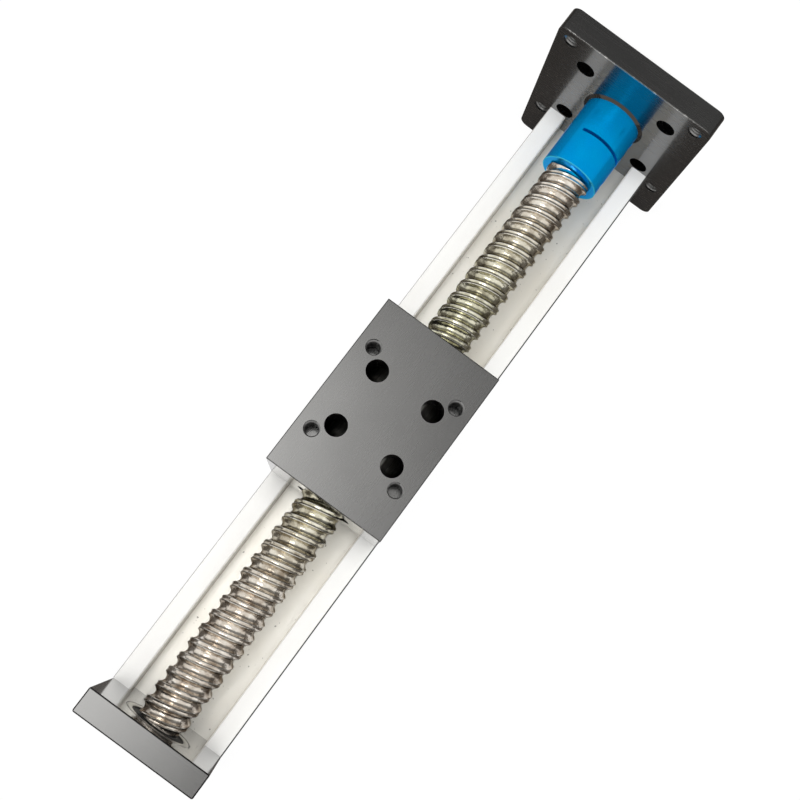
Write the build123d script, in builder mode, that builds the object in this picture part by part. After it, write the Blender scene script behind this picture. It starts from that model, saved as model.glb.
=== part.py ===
from build123d import *
from math import cos, pi, radians, sin
import os

os.makedirs("parts", exist_ok=True)

# Frame: millimetres, X along the screw towards the motor plate, Z up
# Origin: middle of the underside

# Main lengths and heights
span = 235.0  # between the inner faces of the two end plates
plate_thickness = 8.0
axis_height = 42.5  # screw axis above the underside
edge_break = 0.4  # small chamfer on machined edges
assembly_gap = 0.05  # between parts of one body that are slipped together

# Rounds that no mount needs are made of flats, which mesh far lighter than cylinders
screw_sides = 8
ring_sides = 16
bore_sides = 32

# Channel base
channel_width = 41.0
channel_height = 23.5
groove_width = 28.4
groove_depth = 9.5
foot_hole_spacing_x = 180.0
foot_hole_spacing_y = 25.0
foot_hole_depth = 9.0
m5_tap_radius = 2.1

# Motor plate
motor_plate_width = 57.0
motor_plate_height = 71.0
motor_plate_corner = 3.0
pilot_radius = 11.2
pilot_chamfer = 0.6
small_motor_spacing = 31.0
small_motor_head_depth = 4.0
large_motor_spacing = 47.14

# Idler plate
idler_plate_height = 58.5
idler_lip = 1.0  # wall left behind the bearing
idler_lip_radius = 8.0

# M3 screws
m3_radius = 1.5
m3_clearance_radius = 1.7
m3_head_radius = 2.75
m3_head_height = 3.0
m3_sink_radius = 3.25  # of the counterbore round a head
head_gap = 0.25  # over a sunk head

# Screws that hold the end plates to the channel
plate_screw_length = 16.0
lower_screw_y = 15.0
lower_screw_z = 6.5
upper_screw_y = 16.6
upper_screw_z = 18.0

# Guide rail and its screws
rail_width = 12.0
rail_height = 8.0
rail_end_gap = 1.0
rail_hole_pitch = 25.0
rail_head_depth = 4.5
rail_screw_length = 8.0
rail_track_height = 5.2
rail_track_size = 1.2  # of the square notch for the balls

# Runner on the rail
runner_width = 27.0
runner_body_length = 32.4
runner_cap_length = 6.5
runner_cap_inset = 0.3
runner_seal_thickness = 1.0
runner_foot_gap = 3.0  # over the floor of the groove
runner_stack_height = 13.0  # rail foot to runner top
runner_side_gap = 0.2
runner_top_gap = 0.4
runner_bolt_spacing = 20.0
runner_bolt_depth = 3.5
cap_screw_radius = 1.0
cap_screw_head_radius = 1.9
cap_screw_head_height = 1.3
cap_screw_length = 8.0
cap_screw_y = 9.6
cap_screw_drop = 3.2  # below the runner top

# Slider
slider_centre = -9.5  # at rest, along X
slider_length = 59.0
slider_width = 40.5
slider_rise = 18.0  # slider top above the screw axis
slider_floor = 1.5  # wall under the heads of the slider screws
slider_screw_head_height = 2.5
access_bore_radius = 3.45
payload_spacing = 30.0
payload_hole_depth = 10.0

# Ball nut inside the slider
nut_radius = 13.0
nut_bore_gap = 0.4  # between the nut bore and the screw
nut_shoulder = 4.0  # slider wall that stops the nut
nut_shoulder_radius = 9.5
lock_ring_length = 4.5
lock_ring_inset = 0.5
lock_ring_notch = 2.4
wiper_length = 2.8
wiper_radius = 10.6
wiper_gap = 0.1
deflector_length = 11.0
deflector_width = 4.6
deflector_spacing = 10.0
deflector_turns = (90, 180, 270)  # degrees from straight up, along the nut
nut_set_screw_length = 6.0

# Ball screw, whose two-start thread is simplified to rings one pitch apart
screw_radius = 7.7
thread_pitch = 5.0  # half the lead of 10
thread_depth = 1.3
thread_land = 1.6  # width of a ridge's top
thread_first_ridge = -111.0  # along X, on top of the screw
thread_sides = 12
idler_shoulder = 2.8  # between the thread end and the bearing
idler_shoulder_radius = 5.2
shaft_gap = 0.01
journal_stub = 0.8  # beyond the bearing, for the circlip
journal_neck = 0.25  # depth of the circlip's groove

# Deep groove bearing in the idler plate
bearing_bore = 4.0
bearing_radius = 11.0
bearing_width = 7.0
inner_land_radius = 5.7
outer_land_radius = 9.5
ball_radius = 1.9
ball_circle = 7.6
ball_count = 7
ball_sides = 8
cage_reach = 2.6  # from the ball centres to the outside of the cage ring
cage_ring_width = 0.6
cage_half_wall = 0.4
cage_finger_width = 1.8
cage_finger_overlap = 0.6  # past the ball centres
seal_thickness = 0.6
seal_inset = 0.1
seal_gap = 0.12
circlip_thickness = 0.7
circlip_radius = 5.8
circlip_mouth = 60.0  # degrees

# Flexible coupling
coupling_radius = 10.0
coupling_length = 25.0
coupling_gap = 0.6  # to the inner face of the motor plate
coupling_chamfer = 0.5
motor_shaft_radius = 2.5
coupling_grip = 9.0  # depth of the screw journal in the hub
coupling_seat = 10.5  # depth of the bore for it
saw_width = 0.9
saw_depth_past_axis = 1.7
saw_direction = 68.0  # degrees from straight up, towards -Y
back_saw_offset = 2.5
back_saw_direction = -150.0
back_saw_stop = 3.4
set_screw_radius = 2.0
set_screw_length = 4.0
set_screw_inset = 4.6  # from each end of the coupling
set_screw_turns = (90, 180)
motor_set_screw_lift = 0.4

# Places worked out from the sizes
half_span = span / 2
end_outer = half_span + plate_thickness
floor_height = channel_height - groove_depth
rail_top = floor_height + rail_height
rail_length = span - 2 * rail_end_gap
rail_hole_count = int(rail_length / rail_hole_pitch)
runner_top = floor_height + runner_stack_height
runner_bottom = floor_height + runner_foot_gap
runner_start = slider_centre - runner_body_length / 2
runner_end = slider_centre + runner_body_length / 2
slider_top = axis_height + slider_rise
slider_end = slider_centre + slider_length / 2
slider_start = slider_centre - slider_length / 2
nut_start = slider_start + nut_shoulder
nut_end = slider_end - lock_ring_inset - lock_ring_length
nut_middle = (nut_start + nut_end) / 2
nut_bore = screw_radius + nut_bore_gap
nut_body_radius = nut_radius - shaft_gap
coupling_end = half_span - coupling_gap
coupling_start = coupling_end - coupling_length
coupling_middle = (coupling_start + coupling_end) / 2
bearing_outer_face = -half_span - bearing_width
bearing_middle = -half_span - bearing_width / 2
plate_screw_seat = end_outer - m3_head_height - head_gap
plate_screw_points = [
    (side * y, z)
    for side in (-1, 1)
    for y, z in ((lower_screw_y, lower_screw_z), (upper_screw_y, upper_screw_z))
]


def facing_motor(x):
    """Plane across the screw whose normal is +X; its Y is up."""
    return Plane(origin=(x, 0, 0), x_dir=(0, 1, 0), z_dir=(1, 0, 0))


def facing_idler(x):
    """Plane across the screw whose normal is -X; its Y is up."""
    return Plane(origin=(x, 0, 0), x_dir=(0, -1, 0), z_dir=(-1, 0, 0))


def around_axis(x, angle):
    """Plane on the screw axis at x whose normal leaves it at an angle from up."""
    normal = (0, -sin(radians(angle)), cos(radians(angle)))
    return Plane(origin=(x, 0, axis_height), x_dir=(1, 0, 0), z_dir=normal)


def peg(radius, length, head_radius=0, head_height=0, sides=screw_sides):
    """Screw that points down, with its head, if any, standing on the origin."""
    with BuildPart() as piece:
        with BuildSketch():
            RegularPolygon(radius, sides)
        extrude(amount=-length)
        if head_height:
            with BuildSketch():
                RegularPolygon(head_radius, sides)
            extrude(amount=head_height)
    return piece.part


def ring(start, length, outer, inner, sides=ring_sides):
    """Ring about the screw axis, made of flats."""
    with BuildPart() as piece:
        with BuildSketch(facing_motor(start)):
            with Locations((0, axis_height)):
                RegularPolygon(outer, sides)
                RegularPolygon(inner, sides, major_radius=False, mode=Mode.SUBTRACT)
        extrude(amount=length)
    return piece.part


def bore(plane, radius, depth, sides):
    """Cutter about the screw axis, from a plane into the body behind it, made of flats."""
    with BuildPart() as piece:
        with BuildSketch(plane):
            with Locations((0, axis_height)):
                RegularPolygon(radius, sides, major_radius=False)
        extrude(amount=-depth)
    return piece.part


m3_tapped_hole = peg(m3_radius + assembly_gap, plate_screw_length)
m3_through_hole = peg(m3_clearance_radius, plate_screw_length, m3_sink_radius, plate_screw_length)

# Channel base, an extruded U with tapped ends and underside
with BuildPart() as base_channel:
    with BuildSketch(facing_motor(-half_span)):
        with Locations((0, channel_height / 2)):
            Rectangle(channel_width, channel_height)
        with Locations((0, channel_height - groove_depth / 2)):
            Rectangle(groove_width, groove_depth, mode=Mode.SUBTRACT)
    extrude(amount=span)
    long_edges = base_channel.edges().filter_by(Axis.X).group_by(Axis.Z)
    chamfer(long_edges[0] + long_edges[-1], edge_break)
    for end in (facing_motor(half_span), facing_idler(-half_span)):
        with Locations(end):
            with Locations(*plate_screw_points):
                add(m3_tapped_hole, mode=Mode.SUBTRACT)
    with Locations(Plane.XY.offset(floor_height)):
        with GridLocations(rail_hole_pitch, 0, rail_hole_count, 1):
            add(peg(m3_radius + assembly_gap, rail_screw_length), mode=Mode.SUBTRACT)
    with Locations(Plane.XY.rotated((180, 0, 0))):
        with GridLocations(foot_hole_spacing_x, foot_hole_spacing_y, 2, 2):
            Hole(m5_tap_radius, foot_hole_depth)
base_channel.part.label = "base_channel"
export_step(base_channel.part, "parts/base_channel.step")

# Motor plate, with the hole patterns of two motor sizes round the pilot bore
with BuildPart() as motor_plate:
    with BuildSketch(facing_motor(half_span)):
        with Locations((0, motor_plate_height / 2)):
            RectangleRounded(motor_plate_width, motor_plate_height, motor_plate_corner)
    extrude(amount=plate_thickness)
    with Locations(facing_idler(half_span)):
        with Locations((0, axis_height)):
            Hole(pilot_radius, plate_thickness)
            with GridLocations(small_motor_spacing, small_motor_spacing, 2, 2):
                Hole(m3_clearance_radius, plate_thickness)
                add(peg(m3_sink_radius, small_motor_head_depth), mode=Mode.SUBTRACT)
            with GridLocations(large_motor_spacing, large_motor_spacing, 2, 2):
                Hole(m5_tap_radius, plate_thickness)
    pilot_rims = motor_plate.edges().filter_by(GeomType.CIRCLE).group_by(SortBy.RADIUS)[-1]
    chamfer(pilot_rims, pilot_chamfer)
    with Locations(facing_motor(plate_screw_seat)):
        with Locations(*plate_screw_points):
            add(m3_through_hole, mode=Mode.SUBTRACT)
motor_plate.part.label = "motor_plate"
export_step(motor_plate.part, "parts/motor_plate.step")

# Idler plate, bored from inside for the bearing
with BuildPart() as idler_plate:
    with BuildSketch(facing_idler(-half_span)):
        with Locations((0, idler_plate_height / 2)):
            Rectangle(channel_width, idler_plate_height)
    extrude(amount=plate_thickness)
    seat_radius = bearing_radius + assembly_gap
    add(bore(facing_motor(-half_span), seat_radius, plate_thickness - idler_lip, bore_sides), mode=Mode.SUBTRACT)
    add(bore(facing_motor(-half_span), idler_lip_radius, plate_thickness, bore_sides), mode=Mode.SUBTRACT)
    with Locations(facing_idler(-plate_screw_seat)):
        with Locations(*plate_screw_points):
            add(m3_through_hole, mode=Mode.SUBTRACT)
idler_plate.part.label = "idler_plate"
export_step(idler_plate.part, "parts/idler_plate.step")

# Screws of the two end plates
plate_screw = peg(m3_radius, plate_screw_length, m3_head_radius, m3_head_height)

with BuildPart() as motor_plate_screws:
    with Locations(facing_motor(plate_screw_seat)):
        with Locations(*plate_screw_points):
            add(plate_screw)
motor_plate_screws.part.label = "motor_plate_screws"
export_step(motor_plate_screws.part, "parts/motor_plate_screws.step")

with BuildPart() as idler_plate_screws:
    with Locations(facing_idler(-plate_screw_seat)):
        with Locations(*plate_screw_points):
            add(plate_screw)
idler_plate_screws.part.label = "idler_plate_screws"
export_step(idler_plate_screws.part, "parts/idler_plate_screws.step")

# Guide rail with a notch for the balls in each side
with BuildPart() as guide_rail:
    with BuildSketch(facing_motor(-rail_length / 2)):
        with Locations((0, floor_height + rail_height / 2)):
            Rectangle(rail_width, rail_height)
        with Locations((0, floor_height + rail_track_height)):
            with GridLocations(rail_width, 0, 2, 1):
                Rectangle(rail_track_size, rail_track_size, rotation=45, mode=Mode.SUBTRACT)
    extrude(amount=rail_length)
    chamfer(guide_rail.edges().filter_by(Axis.X).group_by(Axis.Z)[-1], edge_break)
    with Locations(Plane.XY.offset(rail_top - rail_head_depth)):
        with GridLocations(rail_hole_pitch, 0, rail_hole_count, 1):
            add(peg(m3_clearance_radius, rail_height, m3_sink_radius, rail_height), mode=Mode.SUBTRACT)
guide_rail.part.label = "guide_rail"
export_step(guide_rail.part, "parts/guide_rail.step")

with BuildPart() as guide_rail_screws:
    with Locations(Plane.XY.offset(rail_top - rail_head_depth)):
        with GridLocations(rail_hole_pitch, 0, rail_hole_count, 1):
            add(peg(m3_radius, rail_screw_length, m3_head_radius, m3_head_height))
guide_rail_screws.part.label = "guide_rail_screws"
export_step(guide_rail_screws.part, "parts/guide_rail_screws.step")


# Runner, a steel middle with plastic end caps and seals
def runner_slice(start, length, inset, slot_gap):
    """Length of the runner's section, slotted from below for the rail."""
    top = runner_top - inset
    bottom = runner_bottom + inset
    slot_top = rail_top + runner_top_gap + slot_gap
    slot_width = rail_width + 2 * (runner_side_gap + slot_gap)
    with BuildPart() as piece:
        with BuildSketch(facing_motor(start)) as section:
            with Locations((0, (top + bottom) / 2)):
                Rectangle(runner_width - 2 * inset, top - bottom)
            chamfer(section.vertices(), edge_break)
            with Locations((0, (bottom + slot_top) / 2)):
                Rectangle(slot_width, slot_top - bottom, mode=Mode.SUBTRACT)
        extrude(amount=length)
    return piece.part


cap_screw_points = [(-cap_screw_y, runner_top - cap_screw_drop), (cap_screw_y, runner_top - cap_screw_drop)]
cap_outer = runner_body_length / 2 + runner_cap_length
cap_screw_seats = [
    facing_motor(slider_centre + cap_outer - cap_screw_head_height),
    facing_idler(slider_centre - cap_outer + cap_screw_head_height),
]

with BuildPart() as runner_block:
    add(runner_slice(runner_start, runner_body_length, 0, 0))
    with Locations(Plane.XY.offset(runner_top)):
        with Locations((slider_centre, 0)):
            with GridLocations(runner_bolt_spacing, runner_bolt_spacing, 2, 2):
                add(peg(m3_radius + assembly_gap, runner_bolt_depth), mode=Mode.SUBTRACT)
    for seat in cap_screw_seats:
        with Locations(seat):
            with Locations(*cap_screw_points):
                add(peg(cap_screw_radius + assembly_gap, cap_screw_length + assembly_gap), mode=Mode.SUBTRACT)
runner_block.part.label = "runner_block"
export_step(runner_block.part, "parts/runner_block.step")


def runner_cap(start, seat):
    """End cap with the sunk holes of its two screws."""
    hole = peg(
        cap_screw_radius + assembly_gap,
        runner_cap_length,
        cap_screw_head_radius + assembly_gap,
        runner_cap_length,
    )
    with BuildPart() as cap:
        add(runner_slice(start, runner_cap_length, runner_cap_inset, runner_side_gap))
        with Locations(seat):
            with Locations(*cap_screw_points):
                add(hole, mode=Mode.SUBTRACT)
    return cap.part


with BuildPart() as runner_cap_front:
    add(runner_cap(runner_end, cap_screw_seats[0]))
runner_cap_front.part.label = "runner_cap_front"
export_step(runner_cap_front.part, "parts/runner_cap_front.step")

with BuildPart() as runner_cap_rear:
    add(runner_cap(runner_start - runner_cap_length, cap_screw_seats[1]))
runner_cap_rear.part.label = "runner_cap_rear"
export_step(runner_cap_rear.part, "parts/runner_cap_rear.step")

with BuildPart() as runner_cap_screws:
    for seat in cap_screw_seats:
        with Locations(seat):
            with Locations(*cap_screw_points):
                add(peg(cap_screw_radius, cap_screw_length, cap_screw_head_radius, cap_screw_head_height))
runner_cap_screws.part.label = "runner_cap_screws"
export_step(runner_cap_screws.part, "parts/runner_cap_screws.step")

with BuildPart() as runner_seals:
    for start in (slider_centre + cap_outer, slider_centre - cap_outer - runner_seal_thickness):
        add(runner_slice(start, runner_seal_thickness, runner_cap_inset, 0))
runner_seals.part.label = "runner_seals"
export_step(runner_seals.part, "parts/runner_seals.step")

# Slider, one machined block bored for the ball nut
access_bore = peg(access_bore_radius, slider_top - runner_top - slider_floor, sides=ring_sides)

with BuildPart() as slider_block:
    with BuildSketch(Plane.XY.offset(runner_top)):
        with Locations((slider_centre, 0)):
            Rectangle(slider_length, slider_width)
    extrude(amount=slider_top - runner_top)
    chamfer(slider_block.edges(), edge_break)
    nut_depth = slider_length - nut_shoulder
    add(bore(facing_motor(slider_end), nut_radius, nut_depth, bore_sides), mode=Mode.SUBTRACT)
    add(bore(facing_motor(slider_end), nut_shoulder_radius, slider_length, bore_sides), mode=Mode.SUBTRACT)
    with Locations(Plane.XY.offset(slider_top)):
        with Locations((slider_centre, 0)):
            with GridLocations(runner_bolt_spacing, runner_bolt_spacing, 2, 2):
                add(access_bore, mode=Mode.SUBTRACT)
                add(peg(m3_clearance_radius, slider_length), mode=Mode.SUBTRACT)
            with GridLocations(payload_spacing, payload_spacing, 2, 2):
                Hole(m5_tap_radius, payload_hole_depth)
    for turn in (-90, 90):
        with Locations(around_axis(nut_middle, turn).offset(slider_width)):
            add(peg(set_screw_radius + assembly_gap, slider_width - nut_radius / 2), mode=Mode.SUBTRACT)
slider_block.part.label = "slider_block"
export_step(slider_block.part, "parts/slider_block.step")

with BuildPart() as slider_screws:
    with Locations(Plane.XY.offset(runner_top + slider_floor)):
        with Locations((slider_centre, 0)):
            with GridLocations(runner_bolt_spacing, runner_bolt_spacing, 2, 2):
                add(peg(m3_radius, slider_floor + runner_bolt_depth, m3_head_radius, slider_screw_head_height))
slider_screws.part.label = "slider_screws"
export_step(slider_screws.part, "parts/slider_screws.step")

# Ball nut with pockets for its return deflectors
deflector_planes = [
    around_axis(nut_middle + deflector_spacing * (index - 1), turn)
    for index, turn in enumerate(deflector_turns)
]

with BuildPart() as ball_nut:
    add(ring(nut_start, nut_end - nut_start, nut_body_radius, nut_bore, bore_sides))
    for end in (facing_motor(nut_end), facing_idler(nut_start)):
        add(bore(end, wiper_radius + assembly_gap, wiper_length, bore_sides), mode=Mode.SUBTRACT)
    for place in deflector_planes:
        with BuildSketch(place):
            Rectangle(deflector_length, deflector_width)
        extrude(amount=nut_radius, mode=Mode.SUBTRACT)
ball_nut.part.label = "ball_nut"
export_step(ball_nut.part, "parts/ball_nut.step")

with BuildPart() as nut_deflectors:
    for place in deflector_planes:
        with BuildSketch(place):
            Rectangle(deflector_length - 2 * assembly_gap, deflector_width - 2 * assembly_gap)
        extrude(amount=nut_radius)
    add(ring(nut_start, nut_end - nut_start, nut_body_radius, nut_bore, bore_sides), mode=Mode.INTERSECT)
nut_deflectors.part.label = "nut_deflectors"
export_step(nut_deflectors.part, "parts/nut_deflectors.step")

with BuildPart() as nut_wiper_front:
    add(ring(nut_end - wiper_length, wiper_length, wiper_radius, screw_radius + wiper_gap))
nut_wiper_front.part.label = "nut_wiper_front"
export_step(nut_wiper_front.part, "parts/nut_wiper_front.step")

with BuildPart() as nut_wiper_rear:
    add(ring(nut_start, wiper_length, wiper_radius, screw_radius + wiper_gap))
nut_wiper_rear.part.label = "nut_wiper_rear"
export_step(nut_wiper_rear.part, "parts/nut_wiper_rear.step")

with BuildPart() as nut_lock_ring:
    add(ring(nut_end, lock_ring_length, nut_body_radius, nut_shoulder_radius))
    with BuildSketch(facing_motor(nut_end + lock_ring_length)):
        with Locations((0, axis_height)):
            Rectangle(2 * nut_radius, lock_ring_notch)
            Rectangle(lock_ring_notch, 2 * nut_radius)
    extrude(amount=-lock_ring_length / 2, mode=Mode.SUBTRACT)
nut_lock_ring.part.label = "nut_lock_ring"
export_step(nut_lock_ring.part, "parts/nut_lock_ring.step")

with BuildPart() as nut_set_screws:
    for turn in (-90, 90):
        with Locations(around_axis(nut_middle, turn).offset(nut_radius + nut_set_screw_length)):
            add(peg(set_screw_radius, nut_set_screw_length))
nut_set_screws.part.label = "nut_set_screws"
export_step(nut_set_screws.part, "parts/nut_set_screws.step")

# Ball screw, one bar with a journal at each end
thread_start = -half_span + idler_shoulder
thread_end = coupling_start - edge_break
journal_radius = bearing_bore - shaft_gap
journal_start = bearing_outer_face - journal_stub
journal_end = coupling_start + coupling_grip
thread_groove_count = int((thread_end - thread_first_ridge) / thread_pitch)
thread_half_groove = (thread_pitch - thread_land) / 2
thread_root = screw_radius - thread_depth
thread_sections = [(thread_start, screw_radius)]
for index in range(thread_groove_count):
    groove = thread_first_ridge + (index + 0.5) * thread_pitch
    thread_sections.append((groove - thread_half_groove, screw_radius))
    thread_sections.append((groove, thread_root))
    thread_sections.append((groove + thread_half_groove, screw_radius))
thread_sections.append((thread_end, screw_radius))
journal_steps = [
    (journal_start, bearing_outer_face, journal_radius - journal_neck),
    (bearing_outer_face, -half_span, journal_radius),
    (-half_span, thread_start, idler_shoulder_radius),
    (thread_end, journal_end, journal_radius),
]

with BuildPart() as ball_screw:
    for x, radius in thread_sections:
        with BuildSketch(facing_motor(x)):
            with Locations((0, axis_height)):
                RegularPolygon(radius, thread_sides)
    loft(ruled=True)
    for start, end, radius in journal_steps:
        with BuildSketch(facing_motor(start)):
            with Locations((0, axis_height)):
                RegularPolygon(radius, ring_sides)
        extrude(amount=end - start)
ball_screw.part.label = "ball_screw"
export_step(ball_screw.part, "parts/ball_screw.step")

# Bearing rings
with BuildPart() as bearing_outer_ring:
    add(ring(bearing_outer_face, bearing_width, bearing_radius, outer_land_radius, bore_sides))
bearing_outer_ring.part.label = "bearing_outer_ring"
export_step(bearing_outer_ring.part, "parts/bearing_outer_ring.step")

with BuildPart() as bearing_inner_ring:
    add(ring(bearing_outer_face, bearing_width, inner_land_radius, bearing_bore, ring_sides))
bearing_inner_ring.part.label = "bearing_inner_ring"
export_step(bearing_inner_ring.part, "parts/bearing_inner_ring.step")

# Balls with a few flats each, inside the true sphere
ball_flat_radius = ball_radius * cos(pi / ball_sides)

with BuildPart() as ball:
    with BuildSketch():
        RegularPolygon(ball_flat_radius, ball_sides)
    extrude(amount=ball_flat_radius, both=True)
    chamfer(ball.faces().filter_by(Axis.Z).edges(), ball_radius / 2)

with BuildPart() as bearing_balls:
    with Locations(facing_motor(bearing_middle)):
        with Locations((0, axis_height)):
            with PolarLocations(ball_circle, ball_count):
                add(ball.part)
bearing_balls.part.label = "bearing_balls"
export_step(bearing_balls.part, "parts/bearing_balls.step")

# Cage, a ring on one side with a finger between each two balls
cage_ring_start = bearing_middle + cage_reach - cage_ring_width

with BuildPart() as bearing_cage:
    add(ring(cage_ring_start, cage_ring_width, ball_circle + cage_half_wall, ball_circle - cage_half_wall))
    with BuildSketch(facing_motor(cage_ring_start)):
        with Locations((0, axis_height)):
            with PolarLocations(ball_circle, ball_count, start_angle=180 / ball_count):
                Rectangle(2 * cage_half_wall, cage_finger_width)
    extrude(amount=-cage_reach - cage_finger_overlap)
bearing_cage.part.label = "bearing_cage"
export_step(bearing_cage.part, "parts/bearing_cage.step")

seal_outer_radius = outer_land_radius - assembly_gap
seal_inner_radius = inner_land_radius + seal_gap

with BuildPart() as bearing_seal_inner:
    add(ring(-half_span - seal_inset - seal_thickness, seal_thickness, seal_outer_radius, seal_inner_radius))
bearing_seal_inner.part.label = "bearing_seal_inner"
export_step(bearing_seal_inner.part, "parts/bearing_seal_inner.step")

with BuildPart() as bearing_seal_outer:
    add(ring(bearing_outer_face + seal_inset, seal_thickness, seal_outer_radius, seal_inner_radius))
bearing_seal_outer.part.label = "bearing_seal_outer"
export_step(bearing_seal_outer.part, "parts/bearing_seal_outer.step")

# Circlip that holds the screw against the bearing
circlip_bore = journal_radius - journal_neck + shaft_gap

with BuildPart() as shaft_circlip:
    add(ring(bearing_outer_face - circlip_thickness, circlip_thickness, circlip_radius, circlip_bore))
    with BuildSketch(facing_motor(bearing_outer_face)):
        with Locations((0, axis_height)):
            Triangle(
                a=2 * circlip_radius,
                b=2 * circlip_radius,
                C=circlip_mouth,
                align=(Align.CENTER, Align.MAX),
            )
    extrude(amount=-circlip_thickness, mode=Mode.SUBTRACT)
shaft_circlip.part.label = "shaft_circlip"
export_step(shaft_circlip.part, "parts/shaft_circlip.step")

# Flexible coupling, a bored bar with two opposed saw cuts
set_screw_places = (coupling_start + set_screw_inset, coupling_end - set_screw_inset)
set_screw_lifts = (bearing_bore, motor_shaft_radius + motor_set_screw_lift)

with BuildPart() as shaft_coupling:
    with BuildSketch(facing_motor(coupling_start)):
        with Locations((0, axis_height)):
            Circle(coupling_radius)
    extrude(amount=coupling_length)
    chamfer(shaft_coupling.edges().filter_by(GeomType.CIRCLE), coupling_chamfer)
    with Locations(facing_idler(coupling_start)):
        with Locations((0, axis_height)):
            CounterBoreHole(motor_shaft_radius, bearing_bore, coupling_seat)
    with BuildSketch(around_axis(coupling_middle, saw_direction).offset(-saw_depth_past_axis)):
        Rectangle(saw_width, 3 * coupling_radius)
    extrude(amount=2 * coupling_radius, mode=Mode.SUBTRACT)
    with BuildSketch(around_axis(coupling_middle - back_saw_offset, back_saw_direction).offset(back_saw_stop)):
        Rectangle(saw_width, 3 * coupling_radius)
    extrude(amount=2 * coupling_radius, mode=Mode.SUBTRACT)
    for x in set_screw_places:
        for turn in set_screw_turns:
            with Locations(around_axis(x, turn).offset(coupling_radius)):
                add(peg(set_screw_radius + assembly_gap, coupling_radius), mode=Mode.SUBTRACT)
shaft_coupling.part.label = "shaft_coupling"
export_step(shaft_coupling.part, "parts/shaft_coupling.step")

with BuildPart() as coupling_set_screws:
    for x, lift in zip(set_screw_places, set_screw_lifts):
        for turn in set_screw_turns:
            with Locations(around_axis(x, turn).offset(lift + set_screw_length)):
                add(peg(set_screw_radius, set_screw_length))
coupling_set_screws.part.label = "coupling_set_screws"
export_step(coupling_set_screws.part, "parts/coupling_set_screws.step")
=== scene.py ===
# %% [markdown]
# # Dressing a ball screw linear module
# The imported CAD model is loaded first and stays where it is. Each piece that shows
# is then modelled again in full detail over its CAD node, and each node that stays
# gets a better finish. Lengths are in metres, X runs along the screw and Z is up.

# %% Load the frame
import math

import bpy
from mathutils import Matrix, Vector


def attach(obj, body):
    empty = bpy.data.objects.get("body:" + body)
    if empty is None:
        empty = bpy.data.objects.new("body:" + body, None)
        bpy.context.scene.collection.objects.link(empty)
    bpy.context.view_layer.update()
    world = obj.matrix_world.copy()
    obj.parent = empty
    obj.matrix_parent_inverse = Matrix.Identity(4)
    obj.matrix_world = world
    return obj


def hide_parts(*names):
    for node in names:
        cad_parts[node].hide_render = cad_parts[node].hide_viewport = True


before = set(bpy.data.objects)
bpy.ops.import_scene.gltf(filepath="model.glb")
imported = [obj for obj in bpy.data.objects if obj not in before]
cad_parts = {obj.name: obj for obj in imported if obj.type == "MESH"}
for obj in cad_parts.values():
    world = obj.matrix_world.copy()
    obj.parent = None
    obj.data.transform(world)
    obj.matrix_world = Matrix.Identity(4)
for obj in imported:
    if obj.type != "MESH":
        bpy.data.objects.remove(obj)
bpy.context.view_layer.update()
MM = 0.001

# %% [markdown]
# ## Camera
# The photograph looks down from almost straight above, with a little more of the
# motor end. The place, lens and shift come from solving the photograph for the known
# sizes of the plates, slider and channel. A camera looks along its own -Z axis, so
# its turn is written as three directions: right, up and backwards.

# %% Camera
right = Vector((0.58423, -0.80468, 0.10568))
up = Vector((0.79030, 0.59369, 0.15153))
camera_data = bpy.data.cameras.new("camera")
camera_data.sensor_width = 36
camera_data.lens = 50.89
camera_data.shift_x = -0.0536
camera_data.shift_y = 0.025
camera = bpy.data.objects.new("camera", camera_data)
bpy.context.collection.objects.link(camera)
turn = camera.matrix_world.to_3x3()
for column, direction in enumerate((right, up, right.cross(up))):
    turn.col[column] = direction.normalized()
camera.matrix_world = turn.to_4x4()
camera.location = (-0.06054, -0.01553, 0.38428)
bpy.context.scene.camera = camera
bpy.context.scene.view_settings.view_transform = "Standard"
print("camera at", tuple(round(v, 4) for v in camera.location))

# %% [markdown]
# ## Simple bodies
# Nearly every piece of the module starts as sawn stock: a block or a round bar. Both
# are Blender's own primitives, placed between two points. Each is made with nothing
# selected and ends with its place in its mesh, because a finished piece sits unturned
# at the origin.

# %% Blocks and bars
def only(piece):
    """Makes piece the one selected, active object."""
    bpy.ops.object.select_all(action="DESELECT")
    piece.select_set(True)
    bpy.context.view_layer.objects.active = piece


def settle(name):
    """Moves the active object's place and turn into its mesh."""
    piece = bpy.context.object
    only(piece)
    bpy.ops.object.transform_apply(location=True, rotation=True, scale=True)
    piece.name = piece.data.name = name
    return piece


def block(name, low, high):
    """Block between two corners."""
    bpy.ops.object.select_all(action="DESELECT")
    low, high = Vector(low), Vector(high)
    bpy.ops.mesh.primitive_cube_add(size=1, location=(low + high) / 2, scale=high - low)
    return settle(name)


def bar(name, start, end, radius, sides):
    """Round bar, or prism of a few sides, between two points."""
    bpy.ops.object.select_all(action="DESELECT")
    start, end = Vector(start), Vector(end)
    bpy.ops.mesh.primitive_cylinder_add(
        vertices=sides,
        radius=radius,
        depth=(end - start).length,
        location=(start + end) / 2,
        rotation=(end - start).to_track_quat("Z", "Y").to_euler(),
    )
    return settle(name)


def across(name, start, end, y, z, radius, sides=48):
    """Round bar along X at (y, z)."""
    return bar(name, (start, y, z), (end, y, z), radius, sides)


def upright(name, x, y, low, high, radius, sides=64):
    """Round bar along Z at (x, y)."""
    return bar(name, (x, y, low), (x, y, high), radius, sides)


# %% [markdown]
# ## Joining and cutting
# Drilling, boring and sawing are all one move here: the space that the tool takes is
# modelled as a body, and a Boolean modifier cuts it away. The exact solver is slower
# than the fast one, but it copes with faces that lie in one plane. The tools of one
# cut are joined and mustn't overlap, so tools that overlap are cut in turn.

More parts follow.
